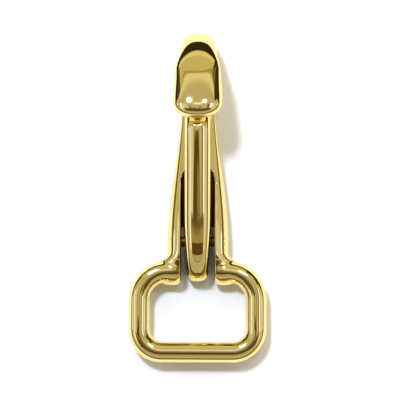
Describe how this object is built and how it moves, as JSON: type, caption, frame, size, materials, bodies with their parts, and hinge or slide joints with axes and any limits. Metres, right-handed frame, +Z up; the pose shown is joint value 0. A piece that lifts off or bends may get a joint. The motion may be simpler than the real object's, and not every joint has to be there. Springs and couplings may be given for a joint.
{
  "type": "snap hook with fixed strap eye",
  "caption": "Cast snap hook with a fixed rectangular strap eye, a broad curled nose and a sprung gate lever pivoted on a pin between its cheeks.",
  "frame": {"origin": "on the surface that the hook lies on, under the middle of its box", "axes": "+Y along the hook from the eye to the crown, +Z up from the back to the nose, +X to the right of the gate"},
  "size_m": [0.0362, 0.0872, 0.0169],
  "materials": {
    "cast_body": "mirror polished gold colour plating",
    "gate": "mirror polished gold colour plating",
    "pin": "polished, dressed flush",
    "spring_wire": "bright drawn wire"
  },
  "bodies": {
    "casting": {"hook_body": "cast_body", "pivot_pin": "pin", "torsion_spring": "spring_wire"},
    "gate": {"gate_lever": "gate"}
  },
  "joints": [
    {"name": "gate_pivot", "type": "hinge", "parent": "casting", "child": "gate", "pos_m": [0, -0.01205, 0.0041], "axis": [1, 0, 0], "range_deg": [-7.4, 0], "stiffness_Nm_per_rad": 0.055, "springref_deg": 57.3, "deforming": ["torsion_spring"]}
  ]
}
